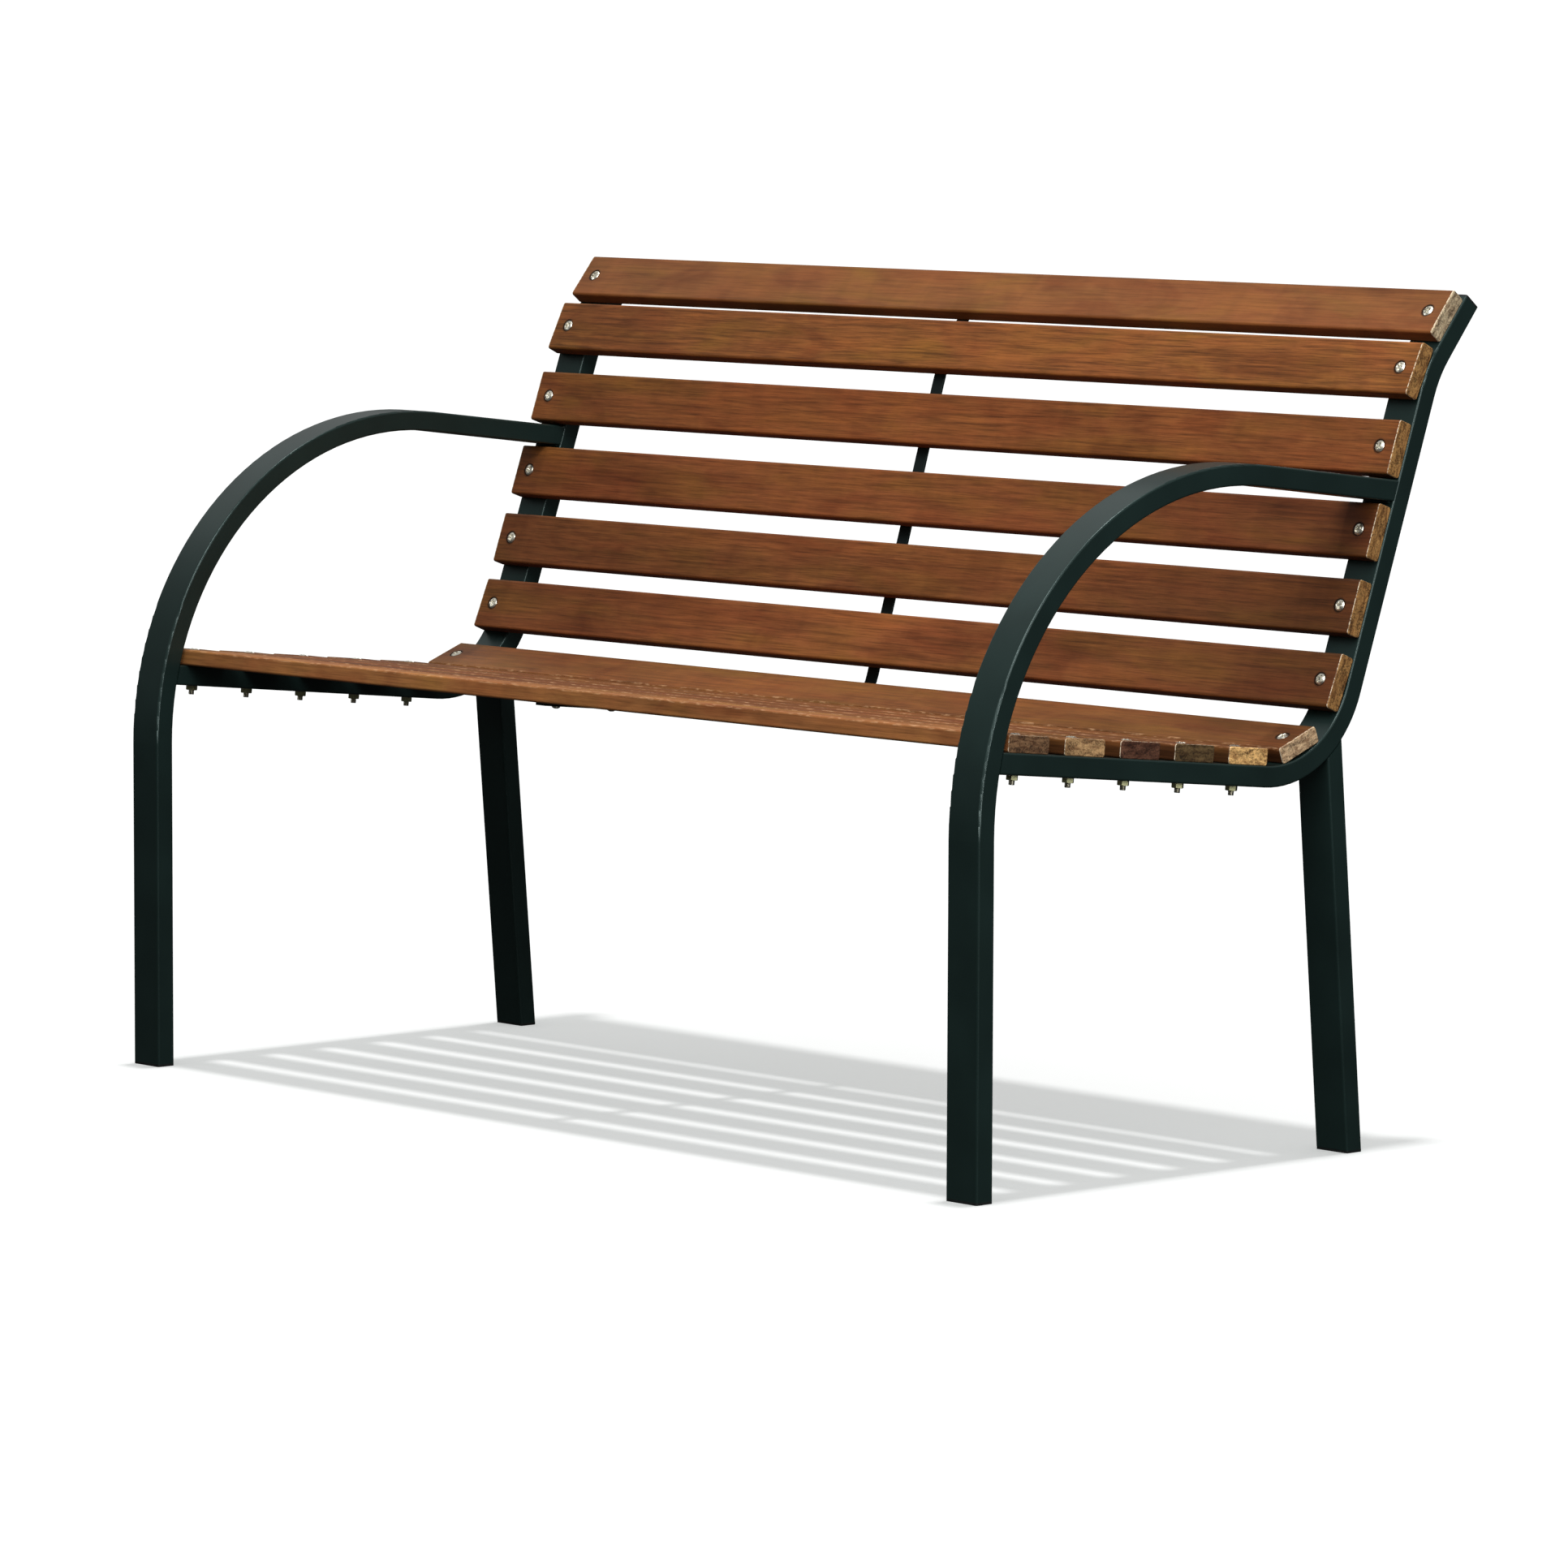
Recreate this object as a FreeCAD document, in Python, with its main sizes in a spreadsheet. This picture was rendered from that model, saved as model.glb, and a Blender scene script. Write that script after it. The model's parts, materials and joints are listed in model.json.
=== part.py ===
import FreeCAD, Part
import math
import os
import Sketcher

# Garden bench: two side frames bent from flat-sided steel tube, twelve timber slats bolted across
# them, and a flat steel strap under the slats at mid length.
# Row frame: +X along the bench, +Y to the rear, +Z up, origin on the floor under the box centre.
# In the side view, distances to the rear are first counted from the front face of the front legs.

DOC = FreeCAD.newDocument("garden_bench")
X_AXIS = FreeCAD.Vector(1, 0, 0)
SIDES = {"left": -1, "right": 1}

# Millimetres and degrees
DIMENSIONS = {
    "tube_width": 40,
    "tube_depth": 20,
    "tube_wall": 1.5,
    "tube_corner": 2,
    "frame_spacing": 1182,
    "leg_run": 321,
    "arm_radius": 312.5,
    "arm_turn": 96.7,
    "arm_run": 190,
    "rail_start_height": 392.9,
    "seat_tilt": 5.7,
    "rail_seat_run": 346,
    "rail_lower_radius": 110,
    "rail_lower_turn": 76.3,
    "rail_back_run": 287.3,
    "rail_upper_radius": 120,
    "rail_upper_turn": 19.6,
    "rail_top_run": 60,
    "rear_foot_setback": 486,
    "rear_leg_lean": 4.8,
    "rear_leg_run": 420,
    "slat_length": 1220,
    "slat_width": 50,
    "wide_slat_width": 52.5,
    "slat_thick": 16,
    "slat_round": 2.5,
    "slat_end_round": 1,
    "first_slat_station": 41,
    "seat_pitch": 70,
    "hollow_pitch": 77,
    "corner_pitch": 93.8,
    "back_pitch": 73.6,
    "arm_gap_pitch": 80.6,
    "shoulder_pitch": 74,
    "top_pitch": 57.75,
    "strap_width": 15,
    "strap_thick": 2.5,
    "strap_setover": 33,
    "strap_front_station": 22,
    "strap_seat_run": 370.1,
    "strap_lower_radius": 58,
    "strap_lower_turn": 78.7,
    "strap_back_run": 295,
    "strap_upper_radius": 190,
    "strap_upper_turn": 22,
    "strap_top_run": 37,
    "bolt_diameter": 6,
    "bolt_length": 44,
    "bolt_hole": 6.5,
    "head_diameter": 11.5,
    "head_rim": 0.9,
    "head_height": 2.7,
    "head_sink": 1.3,
    "head_recess": 12.6,
    "cross_length": 5.6,
    "cross_width": 1.4,
    "cross_depth": 1.5,
    "nut_across_flats": 10,
    "nut_height": 5,
    "nut_relief": 0.3,
    "screw_diameter": 4,
    "screw_length": 14,
    "long_screw_length": 22,
    "screw_hole": 4.5,
    "screw_head": 8,
    "screw_head_height": 2.4,
    "pilot_margin": 1,
    "plug_flange": 2.5,
    "plug_core": 14,
    "plug_core_width": 36.8,
    "plug_core_round": 1,
    "plug_core_depth": 16.8,
    "plug_core_loose": 14.2,
    "cap_flange": 2,
    "weld_leg": 3.5,
    "slim_weld_leg": 1.8,
    "weld_length": 33,
}


def make_sheet():
    sheet = DOC.addObject("Spreadsheet::Sheet", "Sizes")
    for row, (name, value) in enumerate(DIMENSIONS.items(), start=1):
        sheet.set("A%d" % row, name)
        sheet.set("B%d" % row, str(value))
        sheet.setAlias("B%d" % row, name)
    DOC.recompute()
    return sheet


SHEET = make_sheet()


def size(name):
    return float(SHEET.get(name))


def cell(name):
    """A dimension as the expression that binds it and its present value."""
    return "Sizes." + name, size(name)


# ---------------------------------------------------------------- side view of rail and strap

def runs(bar):
    """Runs and bends of the rail or the strap, front to top: length, radius, turn in degrees."""
    lower = math.radians(size(bar + "_lower_turn"))
    upper = math.radians(size(bar + "_upper_turn"))
    return [
        (size(bar + "_seat_run"), 0, 0),
        (size(bar + "_lower_radius") * lower, size(bar + "_lower_radius"), size(bar + "_lower_turn")),
        (size(bar + "_back_run"), 0, 0),
        (size(bar + "_upper_radius") * upper, size(bar + "_upper_radius"), -size(bar + "_upper_turn")),
        (size(bar + "_top_run"), 0, 0),
    ]


def length_of(bar, count=5):
    """Length along the bar's centreline, over its first few runs or all of it."""
    return sum(length for length, radius, turn in runs(bar)[:count])


def follow(bar, y, z, station, offset):
    """Side-view place and heading at a distance along a bar that starts at y, z.

    The offset is measured from the centreline towards the sitter.
    """
    heading = math.radians(-size("seat_tilt"))
    left = station
    for length, radius, turn in runs(bar):
        step = min(left, length)
        if radius:
            side = math.copysign(1, turn)
            centre_y = y - side * radius * math.sin(heading)
            centre_z = z + side * radius * math.cos(heading)
            heading += side * step / radius
            y = centre_y + side * radius * math.sin(heading)
            z = centre_z - side * radius * math.cos(heading)
        else:
            y += step * math.cos(heading)
            z += step * math.sin(heading)
        left -= step
        if left <= 0:
            break
    return y - offset * math.sin(heading), z + offset * math.cos(heading), heading


def rail_point(station, offset=0.0):
    return follow("rail", size("tube_depth"), size("rail_start_height"), station, offset)


def strap_point(station, offset=0.0):
    """The strap's seat run lies against the under side of the seat slats."""
    face = size("tube_depth") / 2 - size("strap_thick") / 2
    y, z, heading = rail_point(size("strap_front_station"), face)
    return follow("strap", y, z, station, offset)


def bisect(low, high, is_low):
    """Value between low and high where the test stops holding."""
    for _ in range(50):
        middle = (low + high) / 2
        if is_low(middle):
            low = middle
        else:
            high = middle
    return low


def depth_shift():
    """Half the bench's depth: the rearmost edge is the rear edge of the rail's end cap."""
    y, z, heading = rail_point(length_of("rail"))
    rear_edge = y + size("cap_flange") * math.cos(heading) + size("tube_depth") / 2 * math.sin(heading)
    return rear_edge / 2


SHIFT = depth_shift()


def placed(x, y, z, angle=0.0):
    """Placement from side-view place and a turn about X in radians."""
    turn = FreeCAD.Rotation(X_AXIS, math.degrees(angle))
    return FreeCAD.Placement(FreeCAD.Vector(x, y - SHIFT, z), turn)


def slat_stations():
    """Station of every slat along the rail, by name."""
    stations = {}
    station = size("first_slat_station")
    for number in range(1, 6):
        stations["seat_slat_%d" % number] = station
        station += size("seat_pitch")
    station += size("hollow_pitch") - size("seat_pitch")
    stations["seat_slat_6"] = station
    pitches = ["corner_pitch", "back_pitch", "back_pitch", "arm_gap_pitch", "shoulder_pitch", "top_pitch"]
    for number, pitch in zip(range(6, 0, -1), pitches):
        station += size(pitch)
        stations["back_slat_%d" % number] = station
    return stations


# The five slats below the top one are a little wider than the rest
WIDE_SLATS = ("back_slat_2", "back_slat_3", "back_slat_4", "back_slat_5", "back_slat_6")


def width_of_slat(name):
    """Name of the dimension that is the slat's width."""
    return "wide_slat_width" if name in WIDE_SLATS else "slat_width"


def seat_of_slat(name, station):
    """Centre of a slat's section and its heading.

    On a straight run or over the upper bend the slat lies flat on the tube. Over the hollow lower
    bend it rests on its two rounded rear edges, so those edges' centres lie on the offset curve.
    """
    if length_of("rail", 3) < station < length_of("rail", 4):
        return rail_point(station, size("tube_depth") / 2 + size("slat_thick") / 2)
    span = size(width_of_slat(name)) - 2 * size("slat_round")
    offset = size("tube_depth") / 2 + size("slat_round")

    def edges(half):
        y1, z1, _heading = rail_point(station - half, offset)
        y2, z2, _heading = rail_point(station + half, offset)
        return y1, z1, y2, z2

    def too_close(half):
        y1, z1, y2, z2 = edges(half)
        return math.hypot(y2 - y1, z2 - z1) < span

    y1, z1, y2, z2 = edges(bisect(span / 2, span, too_close))
    heading = math.atan2(z2 - z1, y2 - y1)
    rise = size("slat_thick") / 2 - size("slat_round")
    return (y1 + y2) / 2 - rise * math.sin(heading), (z1 + z2) / 2 + rise * math.cos(heading), heading


SEATS = {name: seat_of_slat(name, station) for name, station in slat_stations().items()}

# The strap's tighter lower bend stands clear of these slats, so their screws are long
FAR_SLATS = ("seat_slat_6", "back_slat_6", "back_slat_5")


def screw_length(name):
    return size("long_screw_length") if name in FAR_SLATS else size("screw_length")


def nut_seat(name):
    """Distance from a slat's centre to its nut's bearing face on the far side of the tube."""
    y, z, heading = SEATS[name]
    rail_y, rail_z, rail_heading = rail_point(slat_stations()[name])
    reach = math.hypot(y - rail_y, z - rail_z) + size("tube_depth") / 2
    plain = size("slat_thick") / 2 + size("tube_depth")
    over_bend = reach > plain + 0.01 or name == "back_slat_2"
    return reach + (size("nut_relief") if over_bend else 0)


def screw_seat(name):
    """Where a slat's screw enters the rear face of the strap, square to it, and its heading."""
    y, z, heading = SEATS[name]
    rear_y = y + size("slat_thick") / 2 * math.sin(heading)
    rear_z = z - size("slat_thick") / 2 * math.cos(heading)

    def is_short(station):
        at_y, at_z, at_heading = strap_point(station)
        return (rear_y - at_y) * math.cos(at_heading) + (rear_z - at_z) * math.sin(at_heading) > 0

    station = bisect(0, length_of("strap"), is_short)
    return strap_point(station, -size("strap_thick") / 2)


# ---------------------------------------------------------------- sketch and body helpers

def new_body(name):
    return DOC.addObject("PartDesign::Body", name)


def new_sketch(body, name, role, rise=None):
    """Sketch on one of the body's own origin planes, optionally raised along its normal."""
    sketch = body.newObject("Sketcher::SketchObject", name)
    plane = next(item for item in body.Origin.OriginFeatures if item.Role == role)
    sketch.AttachmentSupport = [(plane, "")]
    sketch.MapMode = "FlatFace"
    if rise:
        expression, value = rise
        sketch.AttachmentOffset = FreeCAD.Placement(FreeCAD.Vector(0, 0, value), FreeCAD.Rotation())
        sketch.setExpression("AttachmentOffset.Base.z", expression)
    return sketch


def bind(sketch, expression, *constraint):
    index = sketch.addConstraint(Sketcher.Constraint(*constraint))
    sketch.setExpression("Constraints[%d]" % index, expression)


def line(sketch, start, end):
    return sketch.addGeometry(Part.LineSegment(FreeCAD.Vector(*start, 0), FreeCAD.Vector(*end, 0)))


def arc(sketch, centre, radius, start, end):
    circle = Part.Circle(FreeCAD.Vector(*centre, 0), FreeCAD.Vector(0, 0, 1), radius)
    return sketch.addGeometry(Part.ArcOfCircle(circle, start, end))


def rounded_rectangle(sketch, width, height, radius):
    """Closed outline centred on the sketch's origin; each size is an expression and a value."""
    half_w = width[1] / 2
    half_h = height[1] / 2
    r = radius[1]
    corners = [(half_w - r, r - half_h), (half_w - r, half_h - r),
               (r - half_w, half_h - r), (r - half_w, r - half_h)]
    quarter = math.pi / 2
    sides = []
    rounds = []
    starts = [(r - half_w, -half_h), (half_w, r - half_h), (half_w - r, half_h), (-half_w, half_h - r)]
    ends = [(half_w - r, -half_h), (half_w, half_h - r), (r - half_w, half_h), (-half_w, r - half_h)]
    for number in range(4):
        sides.append(line(sketch, starts[number], ends[number]))
        rounds.append(arc(sketch, corners[number], r, (number - 1) * quarter, number * quarter))
    for number in range(4):
        following = sides[(number + 1) % 4]
        sketch.addConstraint(Sketcher.Constraint("Tangent", sides[number], 2, rounds[number], 1))
        sketch.addConstraint(Sketcher.Constraint("Tangent", rounds[number], 2, following, 1))
        direction = "Horizontal" if number % 2 == 0 else "Vertical"
        sketch.addConstraint(Sketcher.Constraint(direction, sides[number]))
    for number in range(1, 4):
        sketch.addConstraint(Sketcher.Constraint("Equal", rounds[0], rounds[number]))
    sketch.addConstraint(Sketcher.Constraint("Symmetric", rounds[0], 3, rounds[2], 3, -1, 1))
    bind(sketch, radius[0], "Radius", rounds[0], r)
    bind(sketch, width[0], "DistanceX", sides[3], 1, sides[1], 1, width[1])
    bind(sketch, height[0], "DistanceY", sides[0], 1, sides[2], 1, height[1])


def centred_circle(sketch, x, diameter):
    """Circle on the sketch's horizontal axis; x and diameter are expressions with values."""
    centre = FreeCAD.Vector(x[1], 0, 0)
    index = sketch.addGeometry(Part.Circle(centre, FreeCAD.Vector(0, 0, 1), diameter[1] / 2))
    sketch.addConstraint(Sketcher.Constraint("PointOnObject", index, 3, -1))
    bind(sketch, x[0], "DistanceX", -1, 1, index, 3, x[1])
    bind(sketch, diameter[0], "Diameter", index, diameter[1])


def bend_path(sketch, first_run, bends):
    """Chain of tangent runs and bends from the origin, heading along the sketch's vertical.

    Each bend is (radius, turn, side, run): side 1 turns towards the sketch's +x, -1 towards -x.
    """
    position = (0.0, 0.0)
    heading = math.pi / 2
    end = (0.0, first_run[1])
    previous = line(sketch, position, end)
    sketch.addConstraint(Sketcher.Constraint("Coincident", previous, 1, -1, 1))
    sketch.addConstraint(Sketcher.Constraint("Vertical", previous))
    bind(sketch, first_run[0], "Distance", previous, first_run[1])
    for radius, turn, side, run in bends:
        to_centre = heading - side * math.pi / 2
        centre = (end[0] + radius[1] * math.cos(to_centre), end[1] + radius[1] * math.sin(to_centre))
        entry = to_centre + math.pi
        sweep = math.radians(turn[1])
        if side > 0:
            bend = arc(sketch, centre, radius[1], entry - sweep, entry)
            first_end, last_end = 2, 1
        else:
            bend = arc(sketch, centre, radius[1], entry, entry + sweep)
            first_end, last_end = 1, 2
        leave = entry - side * sweep
        heading -= side * sweep
        start = (centre[0] + radius[1] * math.cos(leave), centre[1] + radius[1] * math.sin(leave))
        end = (start[0] + run[1] * math.cos(heading), start[1] + run[1] * math.sin(heading))
        straight = line(sketch, start, end)
        sketch.addConstraint(Sketcher.Constraint("Tangent", previous, 2, bend, first_end))
        sketch.addConstraint(Sketcher.Constraint("Tangent", bend, last_end, straight, 1))
        bind(sketch, radius[0], "Radius", bend, radius[1])
        bind(sketch, turn[0] + " * 1 deg", "Angle", bend, sweep)
        bind(sketch, run[0], "Distance", straight, run[1])
        previous = straight


def tube_sections(body):
    """Outer and inner outline of the flat-sided tube, across the body's Z axis."""
    outer = new_sketch(body, body.Name + "_outer", "XY_Plane")
    rounded_rectangle(outer, cell("tube_width"), cell("tube_depth"), cell("tube_corner"))
    inner = new_sketch(body, body.Name + "_inner", "XY_Plane")
    wall = size("tube_wall")
    rounded_rectangle(
        inner,
        ("Sizes.tube_width - 2 * Sizes.tube_wall", size("tube_width") - 2 * wall),
        ("Sizes.tube_depth - 2 * Sizes.tube_wall", size("tube_depth") - 2 * wall),
        ("Sizes.tube_corner - Sizes.tube_wall", size("tube_corner") - wall),
    )
    return outer, inner


def seat_and_back_bends(bar):
    """The two bends of the rail or the strap, as bend_path takes them."""
    return [
        (cell(bar + "_lower_radius"), cell(bar + "_lower_turn"), -1, cell(bar + "_back_run")),
        (cell(bar + "_upper_radius"), cell(bar + "_upper_turn"), 1, cell(bar + "_top_run")),
    ]


def sweep(body, kind, profile, path):
    pipe = body.newObject("PartDesign::" + kind, "%s_%s" % (body.Name, kind))
    pipe.Profile = profile
    pipe.Spine = (path, [])
    DOC.recompute()
    return pipe


def bent_tube(name, first_run, bends):
    body = new_body(name)
    path = new_sketch(body, name + "_path", "YZ_Plane")
    bend_path(path, first_run, bends)
    outer, inner = tube_sections(body)
    DOC.recompute()
    sweep(body, "AdditivePipe", outer, path)
    sweep(body, "SubtractivePipe", inner, path)
    return body


def pad(body, sketch, length, symmetric=False):
    feature = body.newObject("PartDesign::Pad", sketch.Name + "_pad")
    feature.Profile = sketch
    feature.Length = length[1]
    if symmetric:
        feature.SideType = "Symmetric"
    feature.setExpression("Length", length[0])
    DOC.recompute()
    return feature


def pocket(body, sketch, length=None, reverse=False):
    """Cut a sketch into the body against its normal, through all unless a length is given."""
    before = body.Shape.Volume
    feature = body.newObject("PartDesign::Pocket", sketch.Name + "_pocket")
    feature.Profile = sketch
    feature.Reversed = reverse
    if length:
        feature.Type = "Length"
        feature.Length = length[1]
        feature.setExpression("Length", length[0])
    else:
        feature.Type = "ThroughAll"
    DOC.recompute()
    if body.Shape.Volume >= before:
        raise RuntimeError(feature.Name + " cuts nothing")
    return feature


def bore(name, diameter, placement, length):
    """Round cutting tool along its own +Z."""
    tool = DOC.addObject("Part::Cylinder", name)
    tool.setExpression("Radius", diameter + " / 2")
    tool.Height = length
    tool.Placement = placement
    return tool


def block(name, corner, extent):
    """Box-shaped cutting tool given in side-view coordinates about the tube's middle plane."""
    tool = DOC.addObject("Part::Box", name)
    tool.Length, tool.Width, tool.Height = extent
    tool.Placement = placed(-extent[0] / 2, corner[0], corner[1])
    return tool


def trimmed(label, x, base, tools):
    """Sub-part: a body in the middle plane, cut by its tools and moved to its side."""
    part = DOC.addObject("Part::Cut", label)
    part.Tool = tools[0]
    if len(tools) > 1:
        part.Tool = DOC.addObject("Part::MultiFuse", label + "_tools")
        part.Tool.Shapes = tools
    part.Base = base
    part.Placement = FreeCAD.Placement(FreeCAD.Vector(x, 0, 0), FreeCAD.Rotation())
    return part


# ---------------------------------------------------------------- side frames

# Reach of the cutting tools past the metal they trim
CLEAR = 100.0


def front_leg_arm(side, x):
    """Front leg and armrest in one tube; its end is cut to the front face of the back rail."""
    name = side + "_front_leg_arm"
    bends = [(cell("arm_radius"), cell("arm_turn"), 1, cell("arm_run"))]
    body = bent_tube(name + "_bar", cell("leg_run"), bends)
    body.Placement = placed(0, size("tube_depth") / 2, size("plug_flange"))
    y, z, heading = rail_point(length_of("rail", 2), size("tube_depth") / 2)
    tool = DOC.addObject("Part::Box", name + "_end_cut")
    tool.Length = CLEAR
    tool.Width = size("rail_back_run")
    tool.Height = CLEAR
    turn = math.pi + heading
    tool.Placement = placed(-CLEAR / 2, y + tool.Width.Value * math.cos(heading),
                            z + tool.Width.Value * math.sin(heading), turn)
    return trimmed(name, x, body, [tool])


def drum(name, radius, centre, length):
    """Round tool across the bench, about a centre given in side-view coordinates."""
    tool = DOC.addObject("Part::Cylinder", name)
    tool.setExpression("Radius", radius)
    tool.Height = length
    tool.Placement = FreeCAD.Placement(FreeCAD.Vector(-length / 2, centre[0] - SHIFT, centre[1]),
                                       FreeCAD.Rotation(FreeCAD.Vector(0, 1, 0), 90))
    return tool


def arm_bend_centre():
    return size("tube_depth") / 2 + size("arm_radius"), size("plug_flange") + size("leg_run")


def back_rail(side, x):
    """Seat and back rail in one tube, its front end coped to the inside of the arm's bend."""
    name = side + "_back_rail"
    body = bent_tube(name + "_bar", cell("rail_seat_run"), seat_and_back_bends("rail"))
    body.Placement = placed(0, size("tube_depth"), size("rail_start_height"),
                            -math.pi / 2 - math.radians(size("seat_tilt")))
    cope = DOC.addObject("Part::Cut", name + "_cope")
    cope.Base = block(name + "_cope_block", (-CLEAR / 2, size("rail_start_height") - CLEAR / 2),
                      (CLEAR, CLEAR, CLEAR))
    cope.Tool = drum(name + "_cope_drum", "Sizes.arm_radius - Sizes.tube_depth / 2", arm_bend_centre(),
                     2 * CLEAR)
    tools = [cope]
    for slat, (y, z, heading) in SEATS.items():
        axis = placed(0, y, z, heading + math.pi)
        tools.append(bore("%s_%s_hole" % (side, slat), "Sizes.bolt_hole", axis, CLEAR / 2))
    return trimmed(name, x, body, tools)


def lower_bend_centre():
    y, z, heading = rail_point(size("rail_seat_run"), size("rail_lower_radius"))
    return y, z


def rear_leg(side, x):
    """Straight rear leg, cut level at the foot and coped to the outside of the lower bend."""
    name = side + "_rear_leg"
    body = new_body(name + "_bar")
    outer, inner = tube_sections(body)
    pad(body, outer, cell("rear_leg_run"))
    pocket(body, inner, reverse=True)
    lean = math.radians(size("rear_leg_lean"))
    foot = size("tube_depth")
    body.Placement = placed(0, size("rear_foot_setback") + foot * math.sin(lean),
                            -foot * math.cos(lean), lean)
    floor = block(name + "_foot_cut", (size("rear_foot_setback") - CLEAR / 2, size("plug_flange") - CLEAR),
                  (CLEAR, CLEAR, CLEAR))
    cope = drum(name + "_cope", "Sizes.rail_lower_radius + Sizes.tube_depth / 2", lower_bend_centre(),
                CLEAR)
    return trimmed(name, x, body, [floor, cope])


def plug(label, placement, flange, core_depth):
    """Push-in end plug: a flange as wide as the tube and a core inside it, along +Z."""
    body = new_body(label)
    plate = new_sketch(body, label + "_plate", "XY_Plane")
    rounded_rectangle(plate, cell("tube_width"), cell("tube_depth"), cell("tube_corner"))
    pad(body, plate, flange)
    core = new_sketch(body, label + "_core", "XY_Plane")
    rounded_rectangle(core, cell("plug_core_width"), core_depth, cell("plug_core_round"))
    pad(body, core, ("Sizes.plug_core + " + flange[0], size("plug_core") + flange[1]))
    body.Placement = placement
    return body


def end_plugs(side, x):
    """Foot plugs under both legs and the cap on the top end of the rail."""
    front = plug(side + "_front_foot_plug", placed(x, size("tube_depth") / 2, 0),
                 cell("plug_flange"), cell("plug_core_depth"))
    rear = plug(side + "_rear_foot_plug", placed(x, size("rear_foot_setback"), 0),
                cell("plug_flange"), cell("plug_core_loose"))
    y, z, heading = rail_point(length_of("rail"))
    flange = size("cap_flange")
    outwards = placed(x, y + flange * math.cos(heading), z + flange * math.sin(heading),
                      heading + math.pi / 2)
    cap = plug(side + "_rail_end_cap", outwards, cell("cap_flange"), cell("plug_core_depth"))
    return [front, rear, cap]


# ---------------------------------------------------------------- welds

def bead(corner, first, second, leg=size("weld_leg")):
    """Three-sided bead along X in the corner between two faces seen from the side."""
    start = -size("weld_length") / 2
    points = [FreeCAD.Vector(start, corner[0] + leg * dy, corner[1] + leg * dz)
              for dy, dz in ((0, 0), first, second)]
    face = Part.Face(Part.makePolygon(points + points[:1]))
    return face.extrude(FreeCAD.Vector(size("weld_length"), 0, 0))


def direction(angle):
    return math.cos(angle), math.sin(angle)


def crossing(start, heading, centre, radius):
    """Where a line first meets a circle in side view, and the angle of that place about the centre."""
    to_y = start[0] - centre[0]
    to_z = start[1] - centre[1]
    half = to_y * math.cos(heading) + to_z * math.sin(heading)
    reach = -half - math.sqrt(half ** 2 - (to_y ** 2 + to_z ** 2 - radius ** 2))
    y = start[0] + reach * math.cos(heading)
    z = start[1] + reach * math.sin(heading)
    return (y, z), math.atan2(z - centre[1], y - centre[0])


def arm_joint_corners():
    """Where the armrest's upper and lower faces meet the front face of the rail."""
    drop = math.radians(size("arm_turn") - 90)
    centre_y, centre_z = arm_bend_centre()
    y0, z0, heading = rail_point(length_of("rail", 2), size("tube_depth") / 2)
    corners = []
    for offset in (size("tube_depth") / 2, -size("tube_depth") / 2):
        radius = size("arm_radius") + offset
        y1 = centre_y + radius * math.sin(drop)
        z1 = centre_z + radius * math.cos(drop)
        # crossing of the arm face, heading -drop, with the rail face, at its own heading
        cross = math.sin(heading + drop)
        reach = ((y0 - y1) * math.sin(heading) - (z0 - z1) * math.cos(heading)) / cross
        corners.append((y1 + reach * math.cos(drop), z1 - reach * math.sin(drop)))
    return corners, drop, heading


def rear_leg_corners():
    """Where the rear leg's front and rear faces meet the outside of the lower bend."""
    outside = size("rail_lower_radius") + size("tube_depth") / 2
    lean = math.radians(size("rear_leg_lean"))
    corners = []
    for offset in (-size("tube_depth") / 2, size("tube_depth") / 2):
        foot = (size("rear_foot_setback") + offset / math.cos(lean), 0.0)
        corners.append(crossing(foot, math.pi / 2 + lean, lower_bend_centre(), outside))
    return corners, lean


def weld_beads(side, x):
    """Six beads: two where the rail meets the front leg, two at the arm's end, two at the rear leg."""
    tilt = math.radians(size("seat_tilt"))
    inside = size("arm_radius") - size("tube_depth") / 2
    beads = []
    for face in (1, -1):
        rise = face * size("tube_depth") / 2 / math.cos(tilt)
        start = (size("tube_depth"), size("rail_start_height") + rise)
        corner, angle = crossing(start, -tilt, arm_bend_centre(), inside)
        beads.append(bead(corner, direction(-tilt), direction(angle - face * math.pi / 2)))
    corners, drop, heading = arm_joint_corners()
    beads.append(bead(corners[0], direction(math.pi - drop), direction(heading), size("slim_weld_leg")))
    beads.append(bead(corners[1], direction(math.pi - drop), direction(heading + math.pi)))
    (front, rear), lean = rear_leg_corners()
    down = direction(lean - math.pi / 2)
    beads.append(bead(front[0], down, direction(front[1] - math.pi / 2)))
    beads.append(bead(rear[0], down, direction(rear[1] + math.pi / 2)))
    part = DOC.addObject("Part::Feature", side + "_weld_beads")
    part.Shape = Part.makeCompound(beads)
    part.Placement = placed(x, 0, 0)
    return part


# ---------------------------------------------------------------- slats and strap

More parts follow.
